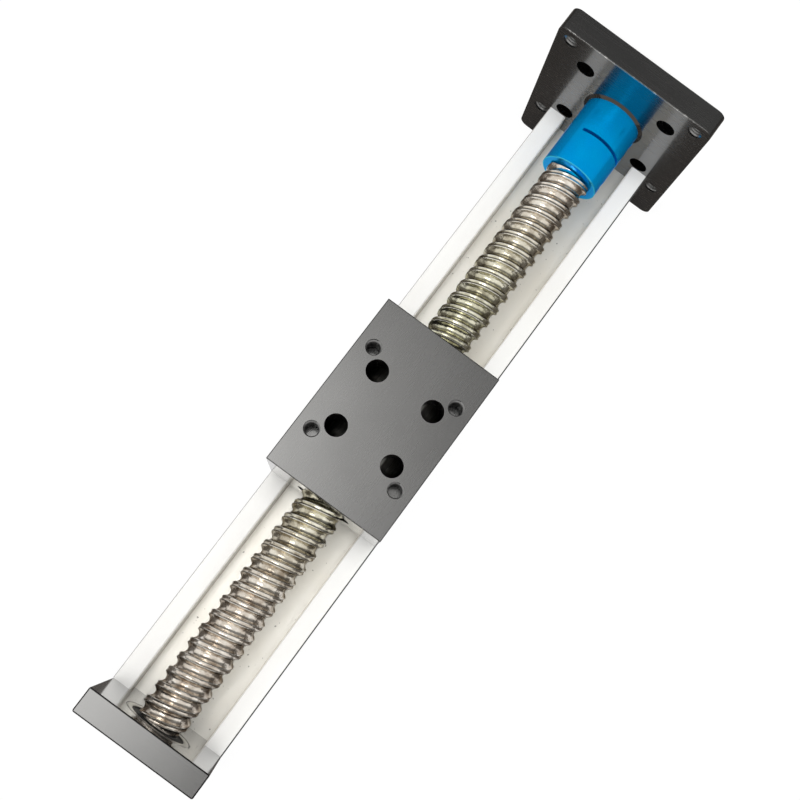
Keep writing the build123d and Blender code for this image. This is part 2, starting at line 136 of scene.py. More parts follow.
# %% Joining and cutting
def join(name, pieces):
    """One object from several."""
    only(pieces[0])
    for piece in pieces:
        piece.select_set(True)
    bpy.ops.object.join()
    pieces[0].name = pieces[0].data.name = name
    return pieces[0]


def apply(piece, modifier):
    """Turns what a modifier shows into real mesh."""
    only(piece)
    bpy.ops.object.modifier_apply(modifier=modifier.name)


def cut(piece, tools):
    """Cuts the tools out of a piece, all at once."""
    tool = join("tool", tools)
    boolean = piece.modifiers.new("cut", "BOOLEAN")
    boolean.object = tool
    boolean.solver = "EXACT"
    apply(piece, boolean)
    bpy.data.objects.remove(tool)


# %% [markdown]
# ## Broken edges
# No machined edge is perfectly sharp, and the narrow bright line along it is what
# makes metal look real. A Bevel modifier breaks the edges. Weighted normals then keep
# the broad faces flat, so that only the bevels catch the light.

# %% Broken edges
def smooth(piece):
    """Shades a piece smooth, apart from its sharp edges."""
    only(piece)
    bpy.ops.object.shade_smooth_by_angle(angle=math.radians(35))
    return piece


def soften(piece, width):
    """Breaks the sharp edges and smooths the rest."""
    bevel = piece.modifiers.new("edges", "BEVEL")
    bevel.width = width
    bevel.segments = 2
    bevel.angle_limit = math.radians(40)
    apply(piece, bevel)
    smooth(piece)
    flats = piece.modifiers.new("flats", "WEIGHTED_NORMAL")
    flats.weight = 100
    flats.keep_sharp = True
    apply(piece, flats)
    return piece


# %% [markdown]
# ## Dressing a node
# A detailed piece is useless if it stays behind when the slider moves. So each one is
# tied to its body, hides the CAD nodes that it stands for, and gets one material.

# %% Dressing a node
def dress(piece, body, nodes, material):
    """Gives a piece its body and its finish, and hides the CAD nodes that it stands for."""
    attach(piece, body)
    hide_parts(*nodes)
    piece.data.materials.clear()
    piece.data.materials.append(material)
    print(piece.name, len(piece.data.polygons), "faces")


# %% [markdown]
# ## Turning and winding
# Journals, rings and threads come off a lathe, so they are made as on a lathe. Half a
# profile is drawn as (place along X, radius), one point after another. Spinning it
# about the screw's axis gives a ring. Winding it forward as it turns gives a thread.

# %% Turning and winding
AXIS_Z = 42.5 * MM


def draw(points):
    """Edges through points, drawn by extruding one vertex, and left in edit mode."""
    bpy.ops.object.select_all(action="DESELECT")
    bpy.ops.mesh.primitive_plane_add(size=MM)
    bpy.ops.object.mode_set(mode="EDIT")
    bpy.ops.mesh.select_mode(type="VERT")
    bpy.ops.mesh.select_all(action="SELECT")
    bpy.ops.mesh.merge(type="CENTER")
    bpy.ops.transform.translate(value=Vector(points[0]))
    for a, b in zip(points, points[1:]):
        bpy.ops.mesh.extrude_region_move(TRANSFORM_OT_translate={"value": Vector(b) - Vector(a)})
    bpy.ops.mesh.select_all(action="SELECT")


def weld():
    """Merges doubles and turns faces outwards, and leaves edit mode."""
    bpy.ops.mesh.select_all(action="SELECT")
    bpy.ops.mesh.remove_doubles(threshold=2e-6)
    bpy.ops.mesh.normals_make_consistent(inside=False)
    bpy.ops.object.mode_set(mode="OBJECT")


def lathe(name, profile):
    """Turned shape about the screw's axis."""
    draw([(x, 0, AXIS_Z + radius) for x, radius in profile])
    bpy.ops.mesh.spin(steps=96, angle=math.tau, center=(0, 0, AXIS_Z), axis=(1, 0, 0))
    weld()
    return smooth(settle(name))


def wind(profile, lead, turns, steps):
    """Thread wound about the X axis by the Screw modifier, from a profile of one turn."""
    draw([(x, 0, radius) for x, radius in profile])
    bpy.ops.object.mode_set(mode="OBJECT")
    piece = bpy.context.object
    screw = piece.modifiers.new("turns", "SCREW")
    screw.axis = "X"
    screw.screw_offset = lead
    screw.iterations = turns
    screw.steps = screw.render_steps = steps
    apply(piece, screw)
    return piece


# %% [markdown]
# ## Shader maths
# A finish is a small sum: some noise, scaled and added, drives the roughness, and a
# mask chooses between two colours. Wired node by node this is hard to read, so a
# small class wraps a socket, and `mask * 0.4 + 0.1` adds its own Math nodes. One
# method adds every other kind of node.

# %% Shader maths
class Wire:
    """An output of a shader node that can be used in sums."""

    def __init__(self, tree, socket):
        self.tree = tree
        self.socket = socket

    def node(self, kind, settings={}, sockets={}, output=0):
        """Adds a node with its settings and sockets, and gives one of its outputs."""
        made = self.tree.nodes.new(kind)
        for name, value in settings.items():
            if name == "stops":
                ramp = made.color_ramp.elements
                while len(ramp) < len(value):
                    ramp.new(0.5)
                for stop, (place, colour) in zip(ramp, value):
                    stop.position = place
                    stop.color = (*colour, 1)
            else:
                setattr(made, name, value)
        for name, value in sockets.items():
            if isinstance(value, Wire):
                self.tree.links.new(made.inputs[name], value.socket)
            else:
                made.inputs[name].default_value = value
        return Wire(self.tree, made.outputs[output] if made.outputs else None)

    def sum(self, operation, first, second):
        """Adds a Math node."""
        return self.node("ShaderNodeMath", {"operation": operation}, {0: first, 1: second})

    def __add__(self, other):
        return self.sum("ADD", self, other)

    def __sub__(self, other):
        return self.sum("SUBTRACT", self, other)

    def __rsub__(self, other):
        return self.sum("SUBTRACT", other, self)

    def __mul__(self, other):
        return self.sum("MULTIPLY", self, other)


# %% [markdown]
# ## Patterns, masks and materials
# Every finish starts from Object coordinates, so its grain stays with the piece when
# it moves, and no picture has to be unwrapped onto it. Noise stretched along one axis
# gives grinding lines. A smooth step along a place gives a mask for an edge or a wall.

# %% Patterns, masks and materials
def paint(name):
    """A new material, and a wire at its Object coordinates."""
    material = bpy.data.materials.new(name)
    material.use_nodes = True
    tree = material.node_tree
    tree.nodes.clear()
    start = Wire(tree, None)
    return material, start.node("ShaderNodeTexCoord", output=3)


def noise(place, scale, detail, stretch=(1, 1, 1)):
    """Noise over Object coordinates, stretched along an axis if asked."""
    moved = place.node("ShaderNodeMapping", {}, {"Vector": place, "Scale": stretch})
    sockets = {"Vector": moved, "Scale": scale, "Detail": detail}
    return place.node("ShaderNodeTexNoise", {}, sockets)


def ramp(value, *stops):
    """Colours along a value, as (place, colour) stops."""
    return value.node("ShaderNodeValToRGB", {"stops": stops}, {0: value})


def span(value, low, high, to_low=0.0, to_high=1.0):
    """A value moved smoothly from one span to another."""
    return value.node(
        "ShaderNodeMapRange",
        {"interpolation_type": "SMOOTHSTEP"},
        {0: value, 1: low, 2: high, 3: to_low, 4: to_high},
    )


def blend(mask, first, second):
    """Mix of two colours by a mask."""
    sockets = {0: mask, 6: first, 7: second}
    return mask.node("ShaderNodeMix", {"data_type": "RGBA"}, sockets, output=2)


def surface(place, colour, roughness, metallic, bump, depth, **more):
    """Closes a material with one Principled shader."""
    raised = {"Strength": 1.0, "Distance": depth, "Height": bump}
    normal = place.node("ShaderNodeBump", {}, raised)
    sockets = {"Base Color": colour, "Roughness": roughness, "Metallic": metallic, "Normal": normal}
    shader = place.node("ShaderNodeBsdfPrincipled", {}, {**sockets, **more})
    place.node("ShaderNodeOutputMaterial", {}, {0: shader})


def along_axis(place, axis):
    """X, Y or Z of a place, as 0, 1 or 2."""
    return place.node("ShaderNodeSeparateXYZ", {}, {0: place}, output=axis)


def size_of(value):
    """A value without its sign."""
    return value.sum("ABSOLUTE", value, 0)


def vectors(operation, first, second, output=0):
    """Adds a Vector Math node."""
    return first.node("ShaderNodeVectorMath", {"operation": operation}, {0: first, 1: second}, output)


def from_axis(place):
    """Distance of a place from the screw's axis."""
    offset = vectors("SUBTRACT", place, (0, 0, AXIS_Z))
    flattened = vectors("MULTIPLY", offset, (0, 1, 1))
    return vectors("LENGTH", flattened, (0, 0, 0), output=1)


def near(value, limit, width):
    """1 where a value comes within a width of its upper limit, and 0 below that."""
    return span(value, limit - width, limit - width * 0.6)


# %% [markdown]
# ## Ground aluminium channel
# The channel is a long pale bar with a groove milled down its middle. Grinding lines
# run along it, and handling leaves faint cream stains and specks in the groove. Its
# own CAD node is true, so only the finish is made here. Masks across the bar pick
# out the groove, painted lighter than the flanks against its shade, its walls, painted
# lighter still, with painted shade in their top and bottom corners, and a thin painted
# shade line along the outer edge of each flange, blacker on the -Y side. They could be
# separate materials on separate faces, but masks also work where the dark line is
# narrower than any face.

# %% Channel masks
CHANNEL_HALF, CHANNEL_TOP = 20.5 * MM, 23.5 * MM
GROOVE_HALF, GROOVE_FLOOR = 14.2 * MM, 14 * MM

pale_metal, place = paint("pale_ground_metal")
height = along_axis(place, 2)
from_middle = size_of(along_axis(place, 1))

in_groove = span(height, GROOVE_FLOOR + 0.6 * MM, GROOVE_FLOOR - 0.1 * MM)
in_groove = in_groove * span(from_middle, GROOVE_HALF + 0.4 * MM, GROOVE_HALF + 0.2 * MM)
# Walls: painted light, a lighter colour against their shade, and painted shade in their corners.
wall = span(from_middle, GROOVE_HALF - 0.25 * MM, GROOVE_HALF - 0.1 * MM)
wall = wall * span(from_middle, GROOVE_HALF + 0.25 * MM, GROOVE_HALF + 0.1 * MM)
# Painted shade: the walls' top and bottom corners are painted brown.
wall_top = span(height, CHANNEL_TOP - 0.4 * MM, CHANNEL_TOP - 0.1 * MM)
wall_foot = span(height, GROOVE_FLOOR + 0.4 * MM, GROOVE_FLOOR + 0.1 * MM)
# Painted shade: a thin dark line along the outer top edge of each flange, blacker on the -Y side.
top_edge = span(height, CHANNEL_TOP - 0.5 * MM, CHANNEL_TOP - 0.3 * MM)
painted_dark_rim = span(from_middle, CHANNEL_HALF - 0.3 * MM, CHANNEL_HALF - 0.1 * MM) * top_edge
painted_shade_minus_y = span(along_axis(place, 1), 0.5 * MM - CHANNEL_HALF, 0.35 * MM - CHANNEL_HALF) * top_edge
print("channel masks done")

# %% [markdown]
# The colours are then laid over each other like coats of paint, each through its
# mask: first the grey flanks and the cream groove, painted lighter against its shade,
# then the painted light and shade of walls and edges, last the specks.

# %% Channel finish
CREAM_LIGHT, CREAM_DARK = (0.96, 0.945, 0.89, 1), (0.89, 0.86, 0.78, 1)
GREY_LIGHT, GREY_DARK = (0.755, 0.755, 0.745, 1), (0.725, 0.72, 0.705, 1)
# The wall colour is painted lighter and its corners brown, as painted light and painted shade; the two
# outline colours are painted shade lines.
WALL_PAINTED_LIGHTER, WALL_CORNER_SHADE = (0.97, 0.95, 0.90, 1), (0.40, 0.32, 0.24, 1)
PAINTED_SHADE_LINE, PAINTED_BLACK_SHADE_LINE, SPECK = (0.20, 0.195, 0.19, 1), (0.03, 0.03, 0.03, 1), (0.12, 0.10, 0.08, 1)

lines = noise(place, 2600, 2.0, stretch=(0.04, 1, 1))
stain = noise(place, 55, 4.0, stretch=(0.5, 1, 1))
specks = span(noise(place, 900, 1.0), 0.74, 0.80)
# Painted light: the groove's cream is painted lighter than the grey flanks, against the groove's shade; the
# stains in it are its own.
cream = blend(span(stain, 0.35, 0.7), CREAM_LIGHT, CREAM_DARK)
flank_grey = blend(span(stain, 0.4, 0.7), GREY_LIGHT, GREY_DARK)
colour = blend(in_groove, flank_grey, cream)
# Painted light on the walls, then painted shade in their corners and along the flange edges.
colour = blend(wall, colour, WALL_PAINTED_LIGHTER)
colour = blend(wall * (wall_top + wall_foot) * 0.7, colour, WALL_CORNER_SHADE)
colour = blend(painted_dark_rim * 0.9, colour, PAINTED_SHADE_LINE)
colour = blend(painted_shade_minus_y, colour, PAINTED_BLACK_SHADE_LINE)
colour = blend(specks * in_groove * 0.8, colour, SPECK)
roughness, metallic = lines * 0.16 + 0.34, in_groove * 0.45 + 0.05
surface(place, colour, roughness, metallic, bump=lines, depth=0.02 * MM)
print("channel finish done")

# %% [markdown]
# ## Anodised aluminium
# The plates and the slider are anodised. Anodising keeps the grinding marks and turns
# them into a satin sheen, so the plates look black on their edges and mirror softly
# what stands in front of them. A metallic base alone would be too dull for that, so it
# gets a clear coat.

# %% Anodised recipe
SILVER, JET = (0.8, 0.8, 0.79, 1), (0.008, 0.008, 0.008, 1)
BRIGHT_EDGE_WIDTH = 0.4 * MM


def anodised(name, stretch, dark, light, rough, wear_and_glint=None, painted_dark_rim=None):
    """Anodised aluminium between two greys, ground along one axis.

    An edge along Y at (x, z) may get patches of bright bare metal, partly wear and partly
    a painted highlight. The rims round a block's top may be painted black, a painted
    dark reflection in their broken edges; for them the last argument gives the block's
    middle and half length along X, its half width along Y, its top and the width of its
    broken edges.
    """
    material, place = paint(name)
    lines = noise(place, 1500, 3.0, stretch)
    cloud = noise(place, 45, 3.0)
    grain = noise(place, 5000, 2.0)
    colour = ramp(cloud * 0.8 + lines * 0.2, (0.35, (dark, dark, dark)), (0.65, (light, light, light)))
    coat = {"Coat Weight": 1.0, "Coat Roughness": 0.1, "Coat IOR": 1.6}
    # Bright bare metal in patches along the edge: partly wear, partly a painted highlight.
    if wear_and_glint:
        edge = near(wear_and_glint[0] - along_axis(place, 0), 0, BRIGHT_EDGE_WIDTH) * near(along_axis(place, 2), wear_and_glint[1], BRIGHT_EDGE_WIDTH)
        sparkle = span(noise(place, 500, 3.0), 0.55, 0.7) * 0.6 + 0.25
        colour = blend(edge * sparkle, colour, SILVER)
    # Painted dark reflection: black painted on the broken edges round the top.
    if painted_dark_rim:
        middle, half_length, half_width, top, width = painted_dark_rim
        side = near(size_of(along_axis(place, 0) - middle), half_length, width)
        side = side.sum("MAXIMUM", side, near(size_of(along_axis(place, 1)), half_width, width))
        edge = side * near(along_axis(place, 2), top, width)
        colour = blend(edge, colour, JET)
        coat["Coat Weight"] = 1 - edge * 0.8
    roughness, bump = lines * 0.08 + cloud * 0.06 + rough, lines * 0.4 + grain * 0.6
    surface(place, colour, roughness, metallic=1.0, bump=bump, depth=0.0012 * MM, **coat)
    return material


# %% [markdown]
# The motor plate's upper inner edge gets bright bare metal here and there, partly wear
# and partly a painted highlight. The idler plate and the slider get painted dark rims,
# a painted dark reflection in their broken edges. Finish and shape use the same sizes,
# so a rim stays on its edge. The threads in the tapped holes use the recipe in a
# lighter grey.

# %% Plates, slider and threads
PLATE_FACE = 117.5 * MM
PLATE_OUTER = PLATE_FACE + 8 * MM
MOTOR_TOP = 71 * MM
# The upper inner edge gets bright patches: partly wear, partly a painted highlight.
black_anodised = anodised(
    "black_anodised", (1, 0.03, 1), dark=0.075, light=0.095, rough=0.2, wear_and_glint=(PLATE_FACE, MOTOR_TOP)
)

IDLER_HALF, IDLER_TOP, IDLER_EDGE = 20.5 * MM, 58.5 * MM, 0.5 * MM
# Painted dark reflection on the idler plate's top edges.
IDLER_DARK_RIM = (-PLATE_FACE - 4 * MM, 4 * MM, IDLER_HALF, IDLER_TOP, IDLER_EDGE)
idler_anodised = anodised("idler_anodised", (1, 0.1, 1), dark=0.085, light=0.105, rough=0.16, painted_dark_rim=IDLER_DARK_RIM)

SLIDER_X, SLIDER_REACH = -9.5 * MM, 29.5 * MM
SLIDER_HALF, SLIDER_TOP, BROKEN_EDGE = 20.25 * MM, 60.5 * MM, 0.3 * MM
# Painted dark reflection on the slider's top edges.
SLIDER_DARK_RIM = (SLIDER_X, SLIDER_REACH, SLIDER_HALF, SLIDER_TOP, BROKEN_EDGE)
slider_grey = anodised("grey_anodised", (0.1, 1, 1), dark=0.085, light=0.105, rough=0.2, painted_dark_rim=SLIDER_DARK_RIM)

bare_thread = anodised("bare_thread", (1, 1, 1), dark=0.2, light=0.32, rough=0.24)
print("anodised finishes done")

# %% [markdown]
# ## Screw and rail steel
# The ball screw is ground and hardened. Its crests are painted brighter, a painted
# highlight along each ridge, and thin oil colours its grooves, yellow-green near the
# middle and warmer towards both ends. The distance from the axis tells crest from
# groove, and the place along X tells middle from end. The rail and the bearing are
# plain ground steel.

# %% Steel
SCREW_RADIUS = 7.7 * MM
WARM_OIL = (0.32, (0.93, 0.88, 0.81)), (0.5, (0.74, 0.67, 0.59)), (0.7, (0.36, 0.29, 0.23))
GREEN_OIL = (0.32, (0.93, 0.92, 0.76)), (0.5, (0.72, 0.70, 0.53)), (0.7, (0.35, 0.33, 0.23))
CREST_HIGHLIGHT, SCREW_TINT = (0.80, 0.78, 0.73, 1), (0.22, 0.2, 0.18, 1)

screw_steel, place = paint("screw_steel")
on_crest = span(from_axis(place), SCREW_RADIUS - 0.1 * MM, SCREW_RADIUS - 0.02 * MM)
to_ends = span(size_of(along_axis(place, 0) - 5 * MM), 25 * MM, 85 * MM)
oil = noise(place, 260, 5.0)
grain = noise(place, 800, 4.0)
oiled = blend(to_ends, ramp(oil, *GREEN_OIL), ramp(oil, *WARM_OIL))
# Painted highlight: the crests are painted brighter than the grooves.
colour = blend(on_crest * 0.85, oiled, CREST_HIGHLIGHT)
tint = {"Specular Tint": SCREW_TINT}
surface(place, colour, oil * 0.24 + 0.08, metallic=1.0, bump=grain, depth=0.15 * MM, **tint)

rail_steel, place = paint("rail_steel")
lines = noise(place, 2400, 2.0, stretch=(0.03, 1, 1))
colour = ramp(lines, (0.3, (0.50, 0.49, 0.47)), (0.8, (0.62, 0.61, 0.58)))
surface(place, colour, lines * 0.2 + 0.22, metallic=1.0, bump=lines, depth=0.01 * MM)
print("steel finishes done")

# %% [markdown]
# ## Blue anodised coupling
# The coupling is turned and dyed blue. Tool rings run round it, so its lines are noise
# that hardly changes round the axis, and its rim towards the screw gets a painted
# highlight in a brighter blue.
# A blue Specular Tint keeps the grazing reflections blue, as a dyed layer does.

# %% Coupling finish
COUPLING_START, COUPLING_END, COUPLING_RADIUS = 91.9 * MM, 116.9 * MM, 10 * MM
RIM_HIGHLIGHT_BLUE, COUPLING_TINT = (0.08, 0.68, 1.0, 1), (0.0, 0.15, 0.4, 1)

coupling_blue, place = paint("blue_anodised")
rings = noise(place, 2200, 2.0, stretch=(1, 0.02, 0.02))
cloud = noise(place, 150, 3.0)
colour = ramp(cloud, (0.3, (0.0, 0.42, 1.0)), (0.8, (0.0, 0.465, 1.0)))
# Painted highlight: a brighter blue band round the rim towards the screw.
edge = near(COUPLING_START - along_axis(place, 0), 0, BRIGHT_EDGE_WIDTH)
edge = edge * near(from_axis(place), COUPLING_RADIUS, BRIGHT_EDGE_WIDTH)
colour = blend(edge, colour, RIM_HIGHLIGHT_BLUE)
tint = {"Specular Tint": COUPLING_TINT}
surface(place, colour, rings * 0.06 + 0.18, metallic=0.75, bump=rings, depth=0.0008 * MM, **tint)
print("coupling finish done")

# %% [markdown]
# ## Screws, rubber and plastic
# Oxide on the screws is nearly black and a little metallic. Seals are matt rubber, the
# runner's caps dark plastic and the nut's wipers pale plastic. They are small, so one
# soft noise between two close colours is enough for each.

# %% Small finishes
def plain(name, scale, first, second, rough, metallic=0.0, depth=0.03 * MM):
    """Finish that only varies softly between two colours."""
    material, place = paint(name)
    cloud = noise(place, scale, 3.0)
    colour = ramp(cloud, (0.3, first), (0.8, second))
    surface(place, colour, cloud * 0.2 + rough, metallic, bump=cloud, depth=depth)
    return material


OXIDE = (0.02, 0.02, 0.02), (0.06, 0.057, 0.055)
black_oxide = plain("black_oxide", 700, *OXIDE, rough=0.3, metallic=0.7, depth=0.02 * MM)
dark_rubber = plain("seal_rubber", 900, (0.012, 0.012, 0.012), (0.03, 0.03, 0.03), rough=0.5)
dark_plastic = plain("dark_plastic", 1100, (0.02, 0.02, 0.022), (0.045, 0.045, 0.045), rough=0.4)
pale_plastic = plain("pale_plastic", 1100, (0.70, 0.69, 0.64), (0.78, 0.77, 0.72), rough=0.4)
print("small finishes done")

# %% [markdown]
# ## CAD nodes that stay
# The channel and the pieces inside the slider and the bearing already have the right
# shape as CAD. Modelling them again would add nothing that shows, so they only get
# their finish.

# %% Finishes for the CAD nodes
STAYS = {
    "base_channel": pale_metal,
    "runner_block": rail_steel,
    "runner_cap_front": dark_plastic,
    "runner_cap_rear": dark_plastic,
    "runner_cap_screws": black_oxide,
    "runner_seals": dark_rubber,
    "ball_nut": rail_steel,
    "nut_deflectors": dark_plastic,
    "bearing_inner_ring": rail_steel,
    "bearing_balls": rail_steel,
    "bearing_cage": dark_plastic,
}
for name, material in STAYS.items():
    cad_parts[name].data.materials.clear()
    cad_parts[name].data.materials.append(material)
print("nodes kept:", len(STAYS))

# %% [markdown]
# ## Slider
# One block of anodised aluminium carries the load. Four large bores reach down to the
# screws that hold it to its runner, and four tapped holes take the load's own screws. A
# stepped hole along X takes the ball nut, and a hole through both sides its set screws.
# The holes are cut first, and then all edges are broken together, which also gives
# each hole its small chamfer.

# %% Slider
SLIDER_START, SLIDER_END = SLIDER_X - SLIDER_REACH, SLIDER_X + SLIDER_REACH
SLIDER_FOOT, ABOVE, BESIDE = 27 * MM, 70 * MM, 30 * MM
RUNNER_HOLES, BORE_RADIUS, BORE_FLOOR = 20 * MM, 3.45 * MM, 28.5 * MM
LOAD_HOLES, M5_RADIUS, TAP_DEPTH = 30 * MM, 2.5 * MM, 10 * MM
NUT_RADIUS, SCREW_WAY_RADIUS, WALL_THICKNESS = 13 * MM, 9.5 * MM, 4 * MM
NUT_MID, SET_HOLE_RADIUS = -10 * MM, 2.05 * MM


def square(spacing):
    """Corners of a square pattern, as (first, second) offsets."""
    return [(a * spacing / 2, b * spacing / 2) for a in (-1, 1) for b in (-1, 1)]


slider = block("slider", (SLIDER_START, -SLIDER_HALF, SLIDER_FOOT), (SLIDER_END, SLIDER_HALF, SLIDER_TOP))
tools = []
for dx, dy in square(RUNNER_HOLES):
    tools.append(upright("bore", SLIDER_X + dx, dy, BORE_FLOOR, ABOVE, BORE_RADIUS))
for dx, dy in square(LOAD_HOLES):
    tools.append(upright("tap", SLIDER_X + dx, dy, SLIDER_TOP - TAP_DEPTH, ABOVE, M5_RADIUS))
cut(slider, tools)
shelf = SLIDER_START + WALL_THICKNESS
cut(slider, [across("nut", shelf, SLIDER_END + MM, 0, AXIS_Z, NUT_RADIUS, 96)])
cut(slider, [across("way", SLIDER_START - MM, shelf + MM, 0, AXIS_Z, SCREW_WAY_RADIUS, 96)])
cut(slider, [bar("side", (NUT_MID, -BESIDE, AXIS_Z), (NUT_MID, BESIDE, AXIS_Z), SET_HOLE_RADIUS, 32)])
soften(slider, BROKEN_EDGE)
dress(slider, "carriage", ["slider_block"], slider_grey)

# %% [markdown]
# ## Tapped threads
# A tapped hole shows its turns as bright arcs on the far wall. Cutting a thread into
# the block would be slow and fragile. Instead one V-shaped turn is wound into a thin
# lining about its own X axis, and then turned and moved into the hole.

# %% Threads in the slider
M5_PITCH, M5_CORE = 0.8 * MM, 2.1 * MM


def m5_thread(mouth, inward, turns):
    """Inside thread from a hole's mouth inwards."""
    crest = (M5_PITCH * 0.44, M5_CORE), (M5_PITCH * 0.56, M5_CORE)
    lining = wind([(0, M5_RADIUS), *crest, (M5_PITCH, M5_RADIUS)], M5_PITCH, turns, 32)
    lining.rotation_euler = Vector(inward).to_track_quat("X", "Z").to_euler()
    lining.location = mouth
    return smooth(settle("lining"))


linings = [
    m5_thread((SLIDER_X + dx, dy, SLIDER_TOP - 0.35 * MM), (0, 0, -1), 10)
    for dx, dy in square(LOAD_HOLES)
]
dress(join("payload_threads", linings), "carriage", [], bare_thread)

# %% [markdown]
# ## Motor plate
# The taller end plate is cut from thick bar with rounded corners. They are bevelled
# before the holes are cut, while only four edges run along X and are easy to pick.

# %% Rounded motor plate
MOTOR_HALF, CORNER = 28.5 * MM, 3 * MM

motor_plate = block(
    "motor_end_plate", (PLATE_FACE, -MOTOR_HALF, 0), (PLATE_OUTER, MOTOR_HALF, MOTOR_TOP)
)
bpy.ops.object.mode_set(mode="EDIT")
bpy.ops.mesh.select_all(action="DESELECT")
bpy.ops.mesh.select_mode(type="EDGE")
bpy.ops.object.mode_set(mode="OBJECT")
for edge in motor_plate.data.edges:
    a, b = (motor_plate.data.vertices[i].co for i in edge.vertices)
    edge.select = abs(a.x - b.x) > MM
bpy.ops.object.mode_set(mode="EDIT")
bpy.ops.mesh.bevel(offset=CORNER, segments=8)
bpy.ops.object.mode_set(mode="OBJECT")
print("motor plate stock", len(motor_plate.data.polygons), "faces")

# %% [markdown]
# The plate holds a motor by one of two square hole patterns, round a large pilot bore.
# The smaller pattern has its screw heads sunk in the inner face, and the larger one is
# tapped. A drill starts and ends a millimetre outside the plate where it goes through,
# so that no skin can be left over its hole.

# %% Motor plate holes
SMALL_PATTERN, LARGE_PATTERN, PILOT_RADIUS = 31 * MM, 47.14 * MM, 11.2 * MM
M3_SLIP, SINK_RADIUS, SINK_DEPTH = 1.7 * MM, 3 * MM, 3.25 * MM
WIDE_SINK_RADIUS, WIDE_SINK_DEPTH = 3.25 * MM, 4 * MM
SCREW_PLACES = [(side * y * MM, z * MM) for side in (-1, 1) for y, z in ((15, 6.5), (16.6, 18))]

start, end = PLATE_FACE - MM, PLATE_OUTER + MM
tools = [across("pilot", start, end, 0, AXIS_Z, PILOT_RADIUS, 96)]
for dy, dz in square(SMALL_PATTERN):
    tools.append(across("m3", start, end, dy, AXIS_Z + dz, M3_SLIP))
for dy, dz in square(LARGE_PATTERN):
    tools.append(across("m5", start, end, dy, AXIS_Z + dz, M5_RADIUS))
for y, z in SCREW_PLACES:
    tools.append(across("sink", PLATE_OUTER - SINK_DEPTH, end, y, z, SINK_RADIUS))
cut(motor_plate, tools)
cut(motor_plate, [
    across("sink", start, PLATE_FACE + WIDE_SINK_DEPTH, dy, AXIS_Z + dz, WIDE_SINK_RADIUS)
    for dy, dz in square(SMALL_PATTERN)
])
soften(motor_plate, BROKEN_EDGE)
dress(motor_plate, "base", ["motor_plate"], black_anodised)

linings = [
    m5_thread((PLATE_FACE + 0.3 * MM, dy, AXIS_Z + dz), (1, 0, 0), 8)
    for dy, dz in square(LARGE_PATTERN)
]
dress(join("motor_plate_threads", linings), "base", [], bare_thread)

# %% [markdown]
# ## Idler plate
# The plate at the other end is plainer and only as wide as the channel. It holds the
# screw's ball bearing in a seat that stops at a narrower lip, and its four screws sit
# as in the motor plate. Two cuts of different width make the stepped hole.

# %% Idler plate
SEAT_RADIUS, LIP_RADIUS, LIP = 11.05 * MM, 8 * MM, MM

idler_plate = block(
    "idler_end_plate", (-PLATE_OUTER, -IDLER_HALF, 0), (-PLATE_FACE, IDLER_HALF, IDLER_TOP)
)
start, end = -PLATE_OUTER - MM, -PLATE_FACE + MM
tools = [across("seat", -PLATE_OUTER + LIP, end, 0, AXIS_Z, SEAT_RADIUS, 96)]
for y, z in SCREW_PLACES:
    tools.append(across("sink", start, -PLATE_OUTER + SINK_DEPTH, y, z, SINK_RADIUS))
cut(idler_plate, tools)
cut(idler_plate, [across("lip", start, -PLATE_OUTER + LIP + MM, 0, AXIS_Z, LIP_RADIUS, 96)])
soften(idler_plate, IDLER_EDGE)
dress(idler_plate, "base", ["idler_plate"], idler_anodised)

# %% [markdown]
# ## Socket head screws
# Each head is a short cylinder with a broken rim and a hexagon socket. One is modelled
# about the origin pointing along X, and its copies are turned and moved into their
# seats. They could share one mesh as instances, but they are joined, because all
# screws of a kind are one piece here.

# %% Socket head screws
M3_HEAD, M3_SHANK, M3_KEY = 2.75 * MM, 1.5 * MM, 2.5 * MM
SMALL_EDGE = 0.2 * MM


def cap_screws(name, seats, outward, shank, head=3 * MM):
    """M3 socket head screws with the undersides of their heads at the seats."""
    top = bar(name, (0, 0, 0), (head, 0, 0), M3_HEAD, 48)
    cut(top, [bar("key", (head * 0.4, 0, 0), (head * 2, 0, 0), M3_KEY / math.sqrt(3), 6)])
    soften(top, SMALL_EDGE)
    stem = smooth(bar("stem", (-shank, 0, 0), (0.01 * MM, 0, 0), M3_SHANK, 24))
    screw = join(name, [top, stem])
    turned = Vector(outward).to_track_quat("X", "Z").to_matrix().to_4x4()
    copies = []
    for seat in seats:
        copy = screw.copy()
        copy.data = screw.data.copy()
        copy.data.transform(turned)
        copy.data.transform(Matrix.Translation(seat))
        bpy.context.collection.objects.link(copy)
        copies.append(copy)
    bpy.data.objects.remove(screw)
    return join(name, copies)


for name, node, side in (
    ("motor_plate_cap_screws", "motor_plate_screws", 1),
    ("idler_plate_cap_screws", "idler_plate_screws", -1),
):
    seats = [(side * (PLATE_OUTER - SINK_DEPTH), y, z) for y, z in SCREW_PLACES]
    screws = cap_screws(name, seats, (side, 0, 0), shank=15 * MM)
    dress(screws, "base", [node], black_oxide)

seats = [(SLIDER_X + dx, dy, BORE_FLOOR) for dx, dy in square(RUNNER_HOLES)]
slider_screws = cap_screws("slider_cap_screws", seats, (0, 0, 1), shank=5 * MM, head=2.5 * MM)
dress(slider_screws, "carriage", ["slider_screws"], black_oxide)

# %% [markdown]
# ## Guide rail
# A miniature rail lies on the groove's floor, with a ball track along each side and
# sunk screws every 25 mm. Each track is one thin bar cut away along the rail's side,
# which leaves the round hollow that the balls run in. The wide part of each screw hole
# and its narrow part overlap, so they are cut in turn.

